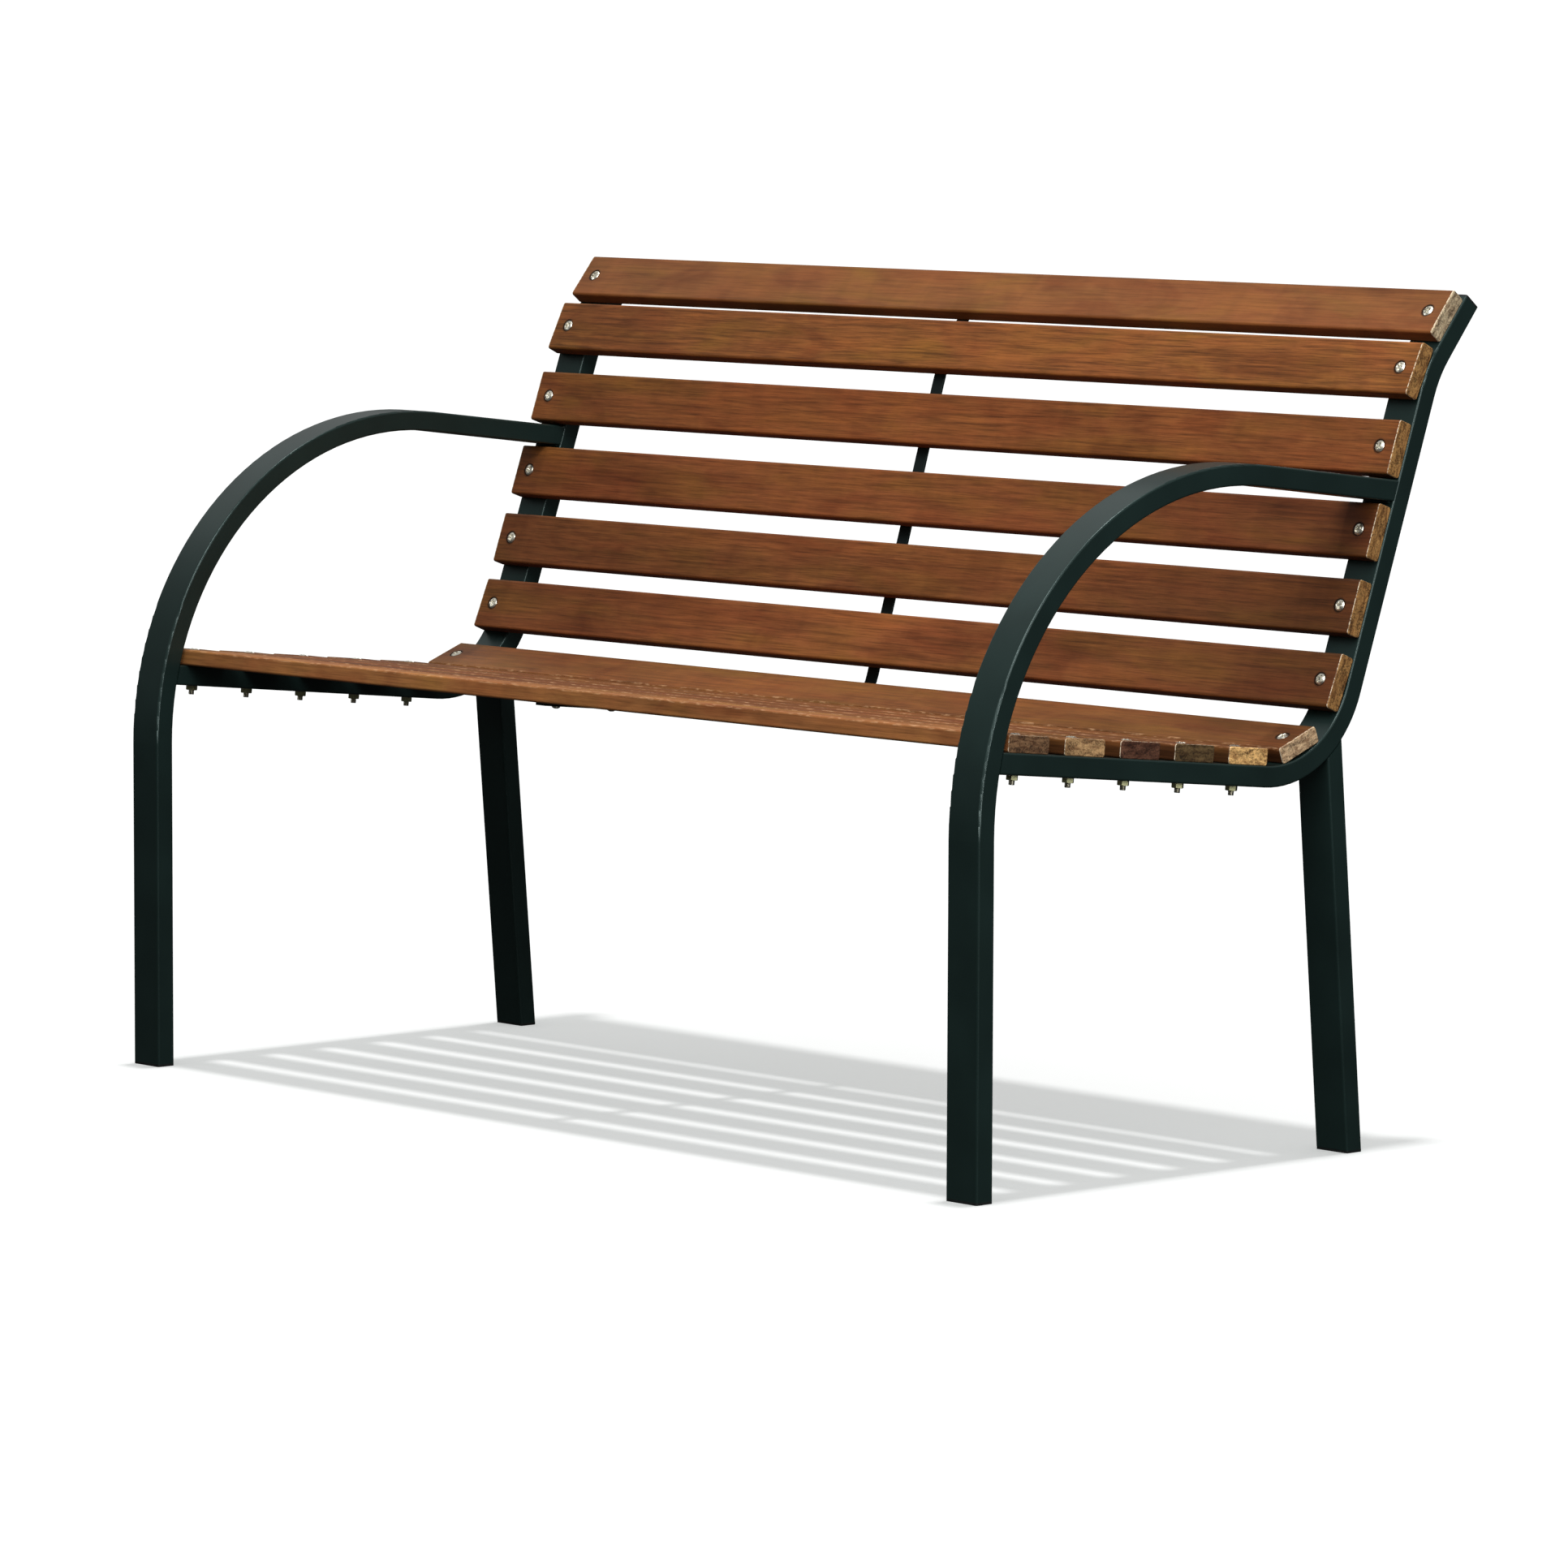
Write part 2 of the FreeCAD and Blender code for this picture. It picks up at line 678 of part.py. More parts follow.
def slat(name):
    """Timber slat, its section centred on the body's X axis, with its front face towards +Z."""
    body = new_body(name + "_board")
    section = new_sketch(body, name + "_section", "YZ_Plane")
    rounded_rectangle(section, cell(width_of_slat(name)), cell("slat_thick"), cell("slat_round"))
    board = pad(body, section, cell("slat_length"), symmetric=True)
    ends = body.newObject("PartDesign::Fillet", name + "_eased_ends")
    end_edges = ["Edge%d" % number for number, edge in enumerate(board.Shape.Edges, start=1)
                 if edge.BoundBox.XLength < 0.1]
    ends.Base = (board, end_edges)
    ends.setExpression("Radius", "Sizes.slat_end_round")
    DOC.recompute()
    front = ("Sizes.slat_thick / 2", size("slat_thick") / 2)
    holes = new_sketch(body, name + "_bolt_holes", "XY_Plane", rise=front)
    recesses = new_sketch(body, name + "_head_recesses", "XY_Plane", rise=front)
    for side in SIDES.values():
        at_frame = ("%d * Sizes.frame_spacing / 2" % side, side * size("frame_spacing") / 2)
        centred_circle(holes, at_frame, cell("bolt_hole"))
        centred_circle(recesses, at_frame, cell("head_recess"))
    pocket(body, holes)
    pocket(body, recesses, cell("head_sink"))
    y, z, heading = SEATS[name]
    body.Placement = placed(0, y, z, heading)
    y, z, heading = screw_seat(name)
    pilot = bore(name + "_screw_pilot", "Sizes.screw_diameter",
                 placed(-size("strap_setover"), y, z, heading), screw_length(name) + size("pilot_margin"))
    return trimmed(name, 0, body, [pilot])


def strap():
    """Flat bar under the seat slats and up behind the back slats, with a hole for each screw."""
    body = new_body("centre_strap_bar")
    path = new_sketch(body, "strap_path", "YZ_Plane")
    bend_path(path, cell("strap_seat_run"), seat_and_back_bends("strap"))
    section = new_sketch(body, "strap_section", "XY_Plane")
    rounded_rectangle(section, cell("strap_width"), cell("strap_thick"),
                      ("Sizes.strap_thick / 5", size("strap_thick") / 5))
    DOC.recompute()
    sweep(body, "AdditivePipe", section, path)
    y, z, heading = strap_point(0)
    body.Placement = placed(0, y, z, heading - math.pi / 2)
    margin = size("strap_thick") / 2
    tools = []
    for name in SEATS:
        y, z, heading = screw_seat(name)
        start = placed(0, y + margin * math.sin(heading), z - margin * math.cos(heading), heading)
        tools.append(bore(name + "_strap_hole", "Sizes.screw_hole", start, size("strap_thick") + 2 * margin))
    return trimmed("centre_strap", -size("strap_setover"), body, tools)


# ---------------------------------------------------------------- fasteners

def turned(name, shank, length, head, rim, height):
    """Round-headed fastener: under side of the head at Z 0, shank down, domed head up."""
    body = new_body(name)
    sketch = new_sketch(body, name + "_half_section", "XZ_Plane")
    shank_r = shank[1] / 2
    head_r = head[1] / 2
    dome = height[1] - rim[1]
    dome_radius = (head_r ** 2 + dome ** 2) / (2 * dome)
    centre_z = height[1] - dome_radius
    corners = [(0, height[1]), (0, -length[1]), (shank_r, -length[1]), (shank_r, 0),
               (head_r, 0), (head_r, rim[1])]
    lines = [line(sketch, corners[number], corners[number + 1]) for number in range(5)]
    crown = arc(sketch, (0, centre_z), dome_radius, math.atan2(rim[1] - centre_z, head_r), math.pi / 2)
    for number in range(4):
        sketch.addConstraint(Sketcher.Constraint("Coincident", lines[number], 2, lines[number + 1], 1))
    sketch.addConstraint(Sketcher.Constraint("Coincident", lines[4], 2, crown, 1))
    sketch.addConstraint(Sketcher.Constraint("Coincident", crown, 2, lines[0], 1))
    sketch.addConstraint(Sketcher.Constraint("PointOnObject", crown, 3, -2))
    sketch.addConstraint(Sketcher.Constraint("PointOnObject", lines[0], 1, -2))
    sketch.addConstraint(Sketcher.Constraint("Vertical", lines[0]))
    sketch.addConstraint(Sketcher.Constraint("Horizontal", lines[1]))
    sketch.addConstraint(Sketcher.Constraint("Vertical", lines[2]))
    sketch.addConstraint(Sketcher.Constraint("Vertical", lines[4]))
    sketch.addConstraint(Sketcher.Constraint("PointOnObject", lines[3], 1, -1))
    sketch.addConstraint(Sketcher.Constraint("PointOnObject", lines[3], 2, -1))
    bind(sketch, length[0], "DistanceY", lines[0], 2, -1, 1, length[1])
    bind(sketch, shank[0] + " / 2", "DistanceX", -1, 1, lines[2], 1, shank_r)
    bind(sketch, head[0] + " / 2", "DistanceX", -1, 1, lines[4], 1, head_r)
    bind(sketch, rim[0], "DistanceY", -1, 1, lines[4], 2, rim[1])
    bind(sketch, height[0], "DistanceY", -1, 1, lines[0], 1, height[1])
    revolution = body.newObject("PartDesign::Revolution", name + "_turned")
    revolution.Profile = sketch
    revolution.ReferenceAxis = (sketch, ["V_Axis"])
    revolution.Angle = 360
    DOC.recompute()
    slots = {"slot_across": ("cross_length", "cross_width"), "slot_along": ("cross_width", "cross_length")}
    for label, (across, along) in slots.items():
        slot = new_sketch(body, name + "_" + label, "XY_Plane", rise=height)
        rounded_rectangle(slot, cell(across), cell(along), ("Sizes.cross_width / 5", size("cross_width") / 5))
        pocket(body, slot, cell("cross_depth"))
    return body


def hex_nut():
    """Six-sided nut, bearing face at Z 0, body towards -Z."""
    prism = DOC.addObject("Part::Prism", "nut_prism")
    prism.Polygon = 6
    prism.setExpression("Circumradius", "Sizes.nut_across_flats / sqrt(3)")
    prism.setExpression("Height", "Sizes.nut_height")
    core = bore("nut_thread", "Sizes.bolt_diameter", FreeCAD.Placement(), CLEAR)
    core.Height = size("nut_height")
    nut = DOC.addObject("Part::Cut", "nut_pattern")
    nut.Base = prism
    nut.Tool = core
    DOC.recompute()
    return nut


def repeated(label, pattern, placements):
    """One node that holds separate copies of the same fastener."""
    part = DOC.addObject("Part::Feature", label)
    shapes = []
    for placement in placements:
        shape = pattern.Shape.copy()
        shape.Placement = placement
        shapes.append(shape)
    part.Shape = Part.makeCompound(shapes)
    return part


def along_normal(name, x, distance, flip=False):
    """Placement on a slat's bolt axis, a distance from its centre towards the front face."""
    y, z, heading = SEATS[name]
    turn = heading + math.pi if flip else heading
    return placed(x, y - distance * math.sin(heading), z + distance * math.cos(heading), turn)


def fasteners():
    bolt = turned("bolt_pattern", cell("bolt_diameter"), cell("bolt_length"), cell("head_diameter"),
                  cell("head_rim"), cell("head_height"))
    screw = turned("screw_pattern", cell("screw_diameter"), cell("screw_length"), cell("screw_head"),
                   cell("head_rim"), cell("screw_head_height"))
    long_screw = turned("long_screw_pattern", cell("screw_diameter"), cell("long_screw_length"),
                        cell("screw_head"), cell("head_rim"), cell("screw_head_height"))
    nut = hex_nut()
    groups = []
    under_head = size("slat_thick") / 2 - size("head_sink")
    for side, sign in SIDES.items():
        x = sign * size("frame_spacing") / 2
        for area in ("seat", "back"):
            names = [name for name in SEATS if name.startswith(area)]
            bolts = [along_normal(name, x, under_head) for name in names]
            nuts = [along_normal(name, x, -nut_seat(name), flip=True) for name in names]
            groups.append(repeated("%s_%s_bolts" % (side, area), bolt, bolts))
            groups.append(repeated("%s_%s_nuts" % (side, area), nut, nuts))
    for label, pattern, names in (
        ("strap_screws", screw, [name for name in SEATS if name not in FAR_SLATS]),
        ("long_strap_screws", long_screw, FAR_SLATS),
    ):
        places = []
        for name in names:
            y, z, heading = screw_seat(name)
            places.append(placed(-size("strap_setover"), y, z, heading + math.pi))
        groups.append(repeated(label, pattern, places))
    return groups


# ---------------------------------------------------------------- assembly and export

def build():
    parts = []
    for side, sign in SIDES.items():
        x = sign * size("frame_spacing") / 2
        parts += [front_leg_arm(side, x), back_rail(side, x), rear_leg(side, x), weld_beads(side, x)]
        parts += end_plugs(side, x)
    parts += [slat(name) for name in SEATS]
    parts.append(strap())
    parts += fasteners()
    DOC.recompute()
    return parts


def check(parts):
    for item in DOC.Objects:
        if "Invalid" in item.State or "Error" in item.State:
            raise RuntimeError("%s failed: %s" % (item.Name, item.State))
    for part in parts:
        if part.Shape.isNull() or not part.Shape.isValid():
            raise RuntimeError(part.Label + " has no valid shape")


def export(parts):
    os.makedirs("parts", exist_ok=True)
    for part in parts:
        part.Shape.exportStep("parts/%s.step" % part.Label)
        box = part.Shape.BoundBox
        print("%-26s solids %2d volume %9.0f  x %7.1f %7.1f  y %7.1f %7.1f  z %7.1f %7.1f" % (
            part.Label, len(part.Shape.Solids), part.Shape.Volume,
            box.XMin, box.XMax, box.YMin, box.YMax, box.ZMin, box.ZMax))


PARTS = build()
check(PARTS)
export(PARTS)
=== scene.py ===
"""Looks of the garden bench: finishes, fasteners, weld beads, floor, lights and camera, in metres."""

import json
import math

import bpy
import numpy as np
from mathutils import Matrix, Vector

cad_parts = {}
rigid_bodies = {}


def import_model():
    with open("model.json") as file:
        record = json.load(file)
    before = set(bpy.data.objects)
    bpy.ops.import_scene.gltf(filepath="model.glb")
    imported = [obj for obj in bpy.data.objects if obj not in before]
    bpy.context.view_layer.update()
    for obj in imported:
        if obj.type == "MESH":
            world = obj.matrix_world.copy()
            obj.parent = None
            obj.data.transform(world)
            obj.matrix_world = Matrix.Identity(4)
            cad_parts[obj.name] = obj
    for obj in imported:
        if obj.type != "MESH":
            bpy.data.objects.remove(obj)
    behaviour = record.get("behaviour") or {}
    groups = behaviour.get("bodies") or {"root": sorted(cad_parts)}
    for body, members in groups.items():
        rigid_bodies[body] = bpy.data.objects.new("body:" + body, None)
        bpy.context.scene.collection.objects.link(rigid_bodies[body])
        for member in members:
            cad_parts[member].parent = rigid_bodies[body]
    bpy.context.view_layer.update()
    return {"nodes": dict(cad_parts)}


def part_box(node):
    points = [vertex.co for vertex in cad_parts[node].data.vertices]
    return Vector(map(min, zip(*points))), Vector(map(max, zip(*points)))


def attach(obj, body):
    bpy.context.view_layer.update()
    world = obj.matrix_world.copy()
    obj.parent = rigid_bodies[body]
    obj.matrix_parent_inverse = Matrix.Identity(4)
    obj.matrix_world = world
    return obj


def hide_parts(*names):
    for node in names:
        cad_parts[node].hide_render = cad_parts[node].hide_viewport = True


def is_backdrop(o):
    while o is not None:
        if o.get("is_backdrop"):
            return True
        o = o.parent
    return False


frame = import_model()
NODES = frame["nodes"]

MM = 0.001
SEAT_SLATS = ["seat_slat_%d" % number for number in range(1, 7)]
BACK_SLATS = ["back_slat_%d" % number for number in range(1, 7)]
SLATS = SEAT_SLATS + BACK_SLATS
SIDES = ("left", "right")


# ---------------------------------------------------------------- places read from the frame

def node_points(name):
    """Vertices of a CAD node as an array."""
    vertices = NODES[name].data.vertices
    points = np.empty(len(vertices) * 3, np.float32)
    vertices.foreach_get("co", points)
    return points.reshape(-1, 3).astype(float)


class SlatPlace:
    """Centre, half sizes and directions of one slat; its normal points towards the sitter."""

    def __init__(self, name):
        points = node_points(name)
        low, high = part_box(name)
        self.half_length = high.x
        self.centre = Vector((0.0, (low.y + high.y) / 2, (low.z + high.z) / 2))
        end_face = points[points[:, 0] > high.x - 0.1 * MM][:, 1:]
        spread = np.cov((end_face - end_face.mean(0)).T)
        widest = np.linalg.eigh(spread).eigenvectors[:, 1]
        across = widest * np.sign(widest[0])
        self.heading = math.atan2(across[1], across[0])
        self.across = Vector((0.0, across[0], across[1]))
        self.normal = Vector((0.0, -across[1], across[0]))
        self.half_width = self.half_size(points, self.across)
        self.half_thick = self.half_size(points, self.normal)

    @staticmethod
    def half_size(points, axis):
        along = points @ np.array(axis)
        return (along.max() - along.min()) / 2

    def span(self, name, x, reach=8 * MM, depth=70 * MM):
        """Lowest and highest place along the slat's normal of a fastener of a CAD node, at x."""
        arm = node_points(name) - np.array((x, self.centre.y, self.centre.z))
        along = arm @ np.array(self.normal)
        aside = np.linalg.norm(arm - np.outer(along, self.normal), axis=1)
        near = along[(aside < reach) & (abs(along) < depth)]
        return near.min(), near.max()

    def axes(self, x, along, flip=False):
        """Placement whose Z follows the normal, or points the other way if flipped."""
        z_axis = -self.normal if flip else self.normal
        x_axis = Vector((1.0, 0.0, 0.0))
        turn = Matrix((x_axis, z_axis.cross(x_axis), z_axis)).transposed().to_4x4()
        place = self.centre + self.normal * along
        return Matrix.Translation((x, place.y, place.z)) @ turn


def frame_x(side):
    """Middle plane of a side frame."""
    low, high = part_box(side + "_seat_bolts")
    return (low.x + high.x) / 2


PLACES = {name: SlatPlace(name) for name in SLATS}
BOLT_LINE = frame_x("right")


# ---------------------------------------------------------------- mesh making

def skin(rings, wrap=False):
    """Vertices and faces of a skin over rings of equally many points, capped unless it wraps round.

    Faces look outwards where each ring runs counter-clockwise as seen from the next, else inwards.
    """
    count = len(rings[0])
    vertices = [tuple(point) for ring in rings for point in ring]
    faces = []
    rows = range(len(rings)) if wrap else range(len(rings) - 1)
    for row in rows:
        first = row * count
        second = (row + 1) % len(rings) * count
        for step in range(count):
            after = (step + 1) % count
            faces.append((first + step, first + after, second + after, second + step))
    if not wrap:
        last = (len(rings) - 1) * count
        faces.append(tuple(reversed(range(count))))
        faces.append(tuple(range(last, last + count)))
    return vertices, faces


def piece(name, parts, stands_for, material, sharp=35):
    """One object of several (vertices, faces, placement) parts that replaces a CAD node."""
    vertices, faces = [], []
    for part_vertices, part_faces, placement in parts:
        start = len(vertices)
        vertices += [placement @ Vector(point) for point in part_vertices]
        faces += [tuple(start + index for index in face) for face in part_faces]
    mesh = bpy.data.meshes.new(name)
    mesh.from_pydata(vertices, [], faces)
    mesh.validate()
    mesh.shade_smooth()
    mesh.set_sharp_from_angle(angle=math.radians(sharp))
    mesh.materials.append(material)
    made = bpy.data.objects.new(name, mesh)
    bpy.context.scene.collection.objects.link(made)
    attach(made, "root")
    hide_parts(stands_for)
    return made


# ---------------------------------------------------------------- node materials

def shader(name):
    """A new node material and its Principled shader."""
    material = bpy.data.materials.new(name)
    material.use_nodes = True
    return material, material.node_tree.nodes["Principled BSDF"]


def add(tree, kind, inputs=None, **settings):
    """Adds a node; an input is a constant or another node's output."""
    made = tree.nodes.new("ShaderNode" + kind)
    for key, value in settings.items():
        setattr(made, key, value)
    for key, value in (inputs or {}).items():
        if isinstance(value, bpy.types.NodeSocket):
            tree.links.new(value, made.inputs[key])
        else:
            made.inputs[key].default_value = value
    return made


def maths(tree, operation, *values, clamp=False):
    """Output of a Math node; a value is a constant or another node's output."""
    return add(tree, "Math", dict(enumerate(values)), operation=operation, use_clamp=clamp).outputs[0]


def stretched(tree, scale, turn=0.0, shift=(0, 0, 0)):
    """Object coordinates turned about X by an angle, moved, and scaled along each axis."""
    place = add(tree, "TexCoord").outputs["Object"]
    level = add(tree, "Mapping", {"Vector": place, "Rotation": (turn, 0, 0), "Location": shift})
    return add(tree, "Mapping", {"Vector": level.outputs[0], "Scale": scale}).outputs[0]


def noise(tree, where, detail=3.0, roughness=0.5, distortion=0.0):
    """Noise from about 0.3 to 0.7 at a scaled place."""
    inputs = {"Vector": where, "Scale": 1.0, "Detail": detail, "Roughness": roughness,
              "Distortion": distortion}
    return add(tree, "TexNoise", inputs).outputs["Fac"]


def ramp(tree, factor, stops):
    """Colour ramp; stops are (place, grey or colour)."""
    made = add(tree, "ValToRGB", {"Fac": factor})
    elements = made.color_ramp.elements
    while len(elements) < len(stops):
        elements.new(0.5)
    for element, (place, colour) in zip(elements, stops):
        element.position = place
        element.color = (*colour, 1.0) if isinstance(colour, tuple) else (colour, colour, colour, 1.0)
    return made.outputs["Color"]


# Sockets of a Mix node set to colours: factor, first colour, second colour, result
MIX_FACTOR, MIX_FIRST, MIX_SECOND, MIX_RESULT = 0, 6, 7, 2


def blended(tree, factor, first, second, blend="MIX"):
    """Second colour laid over the first by a factor."""
    inputs = {MIX_FACTOR: factor, MIX_FIRST: first, MIX_SECOND: second}
    return add(tree, "Mix", inputs, data_type="RGBA", blend_type=blend).outputs[MIX_RESULT]


def multiplied(tree, first, second):
    return blended(tree, 1.0, first, second, "MULTIPLY")


def bumped(tree, bsdf, height, distance, strength):
    bump = add(tree, "Bump", {"Height": height, "Distance": distance, "Strength": strength})
    tree.links.new(bump.outputs[0], bsdf.inputs["Normal"])


def linear(red, green, blue):
    """Scene-linear colour of an sRGB colour given as 0 to 255."""
    def part(value):
        value /= 255
        return value / 12.92 if value <= 0.04045 else ((value + 0.055) / 1.055) ** 2.4
    return part(red), part(green), part(blue)


# Stained boards: colour of the face, strength of its grain, and brightness at its left, middle and right,
# which is painted shade from the arms near the ends mixed with tone that differs from board to board
BOARD_TONES = {
    "back_slat_1": ((132, 82, 46), 0.6, (0.99, 1.0, 0.99)),
    "back_slat_2": ((136, 82, 43), 1.3, (0.94, 1.0, 1.12)),
    "back_slat_3": ((136, 80, 43), 1.1, (0.82, 1.0, 0.88)),
    "back_slat_4": ((131, 76, 43), 1.0, (1.03, 1.0, 0.63)),
    "back_slat_5": ((130, 78, 44), 1.1, (0.76, 1.0, 0.50)),
    "back_slat_6": ((141, 84, 48), 1.0, (0.74, 1.0, 0.50)),
    "seat_slat_1": ((158, 105, 64), 0.8, (1.14, 1.0, 0.95)),
    "seat_slat_2": ((132, 82, 46), 1.0, (0.95, 1.0, 0.95)),
    "seat_slat_3": ((129, 78, 44), 1.0, (1.00, 0.9, 1.00)),
    "seat_slat_4": ((131, 80, 46), 1.1, (0.95, 1.0, 0.95)),
    "seat_slat_5": ((132, 82, 46), 1.0, (1.00, 1.0, 0.95)),
    "seat_slat_6": ((124, 77, 41), 0.8, (1.06, 1.0, 0.95)),
}
END_TONES = {
    "seat_slat_1": (110, 83, 59),
    "seat_slat_2": (169, 136, 96),
    "seat_slat_3": (87, 57, 43),
    "seat_slat_4": (90, 72, 46),
    "seat_slat_5": (217, 175, 114),
    "seat_slat_6": (193, 166, 132),
    "back_slat_1": (182, 166, 137),
}
END_TONE = (150, 112, 66)
# Pale colour of the painted highlight along the seat slats' upper front edges
ARRIS_HIGHLIGHT_TONE = (206, 160, 118)
# Near-white of the eased end edges: partly bared wood, partly painted highlight
END_EDGE_WEAR_AND_HIGHLIGHT_TONE = (236, 220, 192)

# Noise over a board: scale along it, across it and through it, per metre; detail; roughness; distortion
FIELDS = {
    "drift": ((2.2, 18, 18), 2.0, 0.5, 0.0),
    "flame": ((4.5, 60, 60), 3.0, 0.5, 0.6),
    "streak": ((11, 330, 330), 4.0, 0.6, 0.3),
    "fibre": ((26, 900, 900), 4.0, 0.6, 0.0),
    "pores": ((60, 2200, 2200), 2.0, 0.7, 0.0),
    "figure": ((30, 15, 15), 2.0, 0.5, 0.6),
    "blotch": ((9, 24, 24), 3.0, 0.6, 0.8),
    "hue": ((6, 26, 26), 3.0, 0.5, 0.5),
    "speckle": ((640, 640, 640), 3.0, 0.75, 0.0),
    "arcs": ((0, 60, 180), 3.0, 0.5, 0.5),
    "knots": ((110, 80, 260), 3.0, 0.6, 0.8),
    # patches of the pale end edge: partly bared wood, partly painted highlight
    "end_edge_wear_and_highlight": ((120, 330, 330), 2.0, 0.5, 0.0),
    # patches of the painted highlight along the seat slats' upper front edges
    "arris_highlight": ((100, 420, 420), 2.0, 0.5, 0.0),
}

# Sides of the seat slats that look into the narrow gaps and get painted shade: 1 rear, -1 front, 0 both
GAP_SIDES = {"seat_slat_1": 1, "seat_slat_2": 0, "seat_slat_3": 0, "seat_slat_4": 0, "seat_slat_5": 0,
             "seat_slat_6": -1}

# Rounding of the long edges and of the ends, depth in which a side gets painted shade, and the reach of the
# painted shade round a bolt head
SLAT_ROUND = 2.5 * MM
END_EASE = 1.0 * MM
SIDE_DEPTH = 1.6 * MM
RECESS_SHADE_REACH = 10 * MM


class Board:
    """Node tree of one slat's timber, with its noise fields and its places on the board."""

    def __init__(self, name):
        self.name = name
        self.place = PLACES[name]
        self.material, self.bsdf = shader(name + "_timber")
        self.tree = self.material.node_tree
        seed = 1.7 * SLATS.index(name)
        self.shift = (seed, 3.1 * seed, -2.3 * seed)
        self.here = add(self.tree, "TexCoord").outputs["Object"]
        self.x_place = add(self.tree, "SeparateXYZ", {"Vector": self.here}).outputs["X"]
        self.from_middle = self.maths("ABSOLUTE", self.x_place)
        from_centre = add(self.tree, "VectorMath", {0: self.here, 1: self.place.centre},
                          operation="SUBTRACT").outputs[0]
        self.aside, self.height = (
            add(self.tree, "VectorMath", {0: from_centre, 1: axis}, operation="DOT_PRODUCT").outputs["Value"]
            for axis in (self.place.across, self.place.normal))

    def maths(self, operation, *values, clamp=False):
        return maths(self.tree, operation, *values, clamp=clamp)

    def field(self, key):
        scale, detail, roughness, distortion = FIELDS[key]
        where = stretched(self.tree, scale, -self.place.heading, self.shift)
        return noise(self.tree, where, detail, roughness, distortion)

    def ramp(self, factor, stops):
        return ramp(self.tree, factor, stops)

    def multiplied(self, first, second):
        return multiplied(self.tree, first, second)


def stained_face(board, fibre, pores):
    """Stained hardwood: growth rings, fibres, pores and cloudy stain, with painted shade and board tone
    changing along the board.
    """
    tone, grain, painted_shade_along = BOARD_TONES[board.name]
    flame = board.field("flame")
    light = linear(*tone)
    dark = tuple(part * share for part, share in zip(light, (0.60, 0.53, 0.48)))
    warm = tuple(min(1.0, part * share) for part, share in zip(light, (1.12, 1.10, 1.04)))
    drift = board.maths("MULTIPLY_ADD", board.field("drift"), 0.75, board.maths("MULTIPLY", flame, 0.30))
    rings = board.maths("SINE", board.maths("MULTIPLY", flame, 34.0))
    along = board.maths("MULTIPLY_ADD", board.x_place, 0.5 / board.place.half_length, 0.5)
    marks = [
        board.maths("MULTIPLY_ADD", rings, -0.055 * grain, 1.0 - 0.03 * grain),
        board.ramp(board.field("streak"),
                   [(0.34, 1.0 - 0.30 * grain), (0.50, 1.0), (0.68, 1.0 + 0.14 * grain)]),
        board.ramp(fibre, [(0.34, 1.0 - 0.30 * grain), (0.52, 1.0)]),
        board.ramp(pores, [(0.30, 1.0 - 0.26 * grain), (0.42, 1.0)]),
        board.ramp(board.field("figure"), [(0.35, 0.93), (0.62, 1.05)]),
        board.ramp(board.field("blotch"),
                   [(0.34, (0.84, 0.76, 0.76)), (0.50, (1.0, 1.0, 1.0)), (0.66, (1.06, 1.10, 0.98))]),
        board.ramp(board.field("hue"),
                   [(0.36, (1.04, 0.95, 0.88)), (0.52, (1.0, 1.0, 0.92)), (0.66, (0.95, 1.06, 0.80))]),
        # painted shade along the board, mostly from the arms near the ends: factors at its left, middle and
        # right
        board.ramp(along, list(zip((0.04, 0.5, 0.96), painted_shade_along))),
    ]
    face = board.ramp(drift, [(0.30, dark), (0.50, light), (0.72, warm)])
    for mark in marks:
        face = board.multiplied(face, mark)
    return face


def painted_bolt_recess_shade(board):
    """Painted shade in a ring round each bolt head, where its recess is, as a factor."""
    from_bolt = board.maths("SUBTRACT", board.from_middle, BOLT_LINE)
    square = board.maths("ADD", board.maths("POWER", board.aside, 2.0), board.maths("POWER", from_bolt, 2.0))
    away = board.maths("DIVIDE", board.maths("SQRT", square), RECESS_SHADE_REACH)
    return board.ramp(away, [(0.64, 0.22), (0.80, 1.0)])


def painted_gap_shade(board, side):
    """Painted shade low on the long sides between two seat slats, as a factor."""
    outward = board.maths("ABSOLUTE", board.aside)
    if side:
        outward = board.maths("MULTIPLY", board.aside, float(side))
    on_side = board.maths("GREATER_THAN", outward, board.place.half_width - SIDE_DEPTH)
    rise = board.maths("MULTIPLY_ADD", board.height, 0.5 / board.place.half_thick, 0.5)
    depth = board.ramp(rise, [(0.55, 0.32), (0.92, 1.0)])
    return blended(board.tree, on_side, (1.0, 1.0, 1.0, 1.0), depth)


def painted_arris_highlight(board):
    """Painted highlight in pale patches along the seat slat's upper front edge, as a factor."""
    reach = board.maths("SUBTRACT", board.height, board.aside)
    arris_start = board.place.half_width + board.place.half_thick - SLAT_ROUND
    on_arris = board.maths("GREATER_THAN", reach, arris_start)
    return board.maths("MULTIPLY", on_arris, board.ramp(board.field("arris_highlight"), [(0.50, 0.0), (0.66, 0.45)]))


def sawn_end(board):
    """End grain: fine speckle in faint arcs, with darker patches."""
    tone = linear(*END_TONES.get(board.name, END_TONE))
    dark = tuple(0.30 * part for part in tone)
    pale = tuple(min(1.0, 1.35 * part) for part in tone)
    speckle = board.maths("MULTIPLY", board.field("speckle"), 0.70)
    grain = board.maths("MULTIPLY_ADD", board.field("arcs"), 0.35, speckle)
    face = board.ramp(grain, [(0.42, dark), (0.51, tone), (0.60, pale)])
    patches = board.ramp(board.field("knots"), [(0.38, (0.46, 0.38, 0.34)), (0.60, (1.12, 1.10, 1.06))])
    return board.multiplied(face, patches)


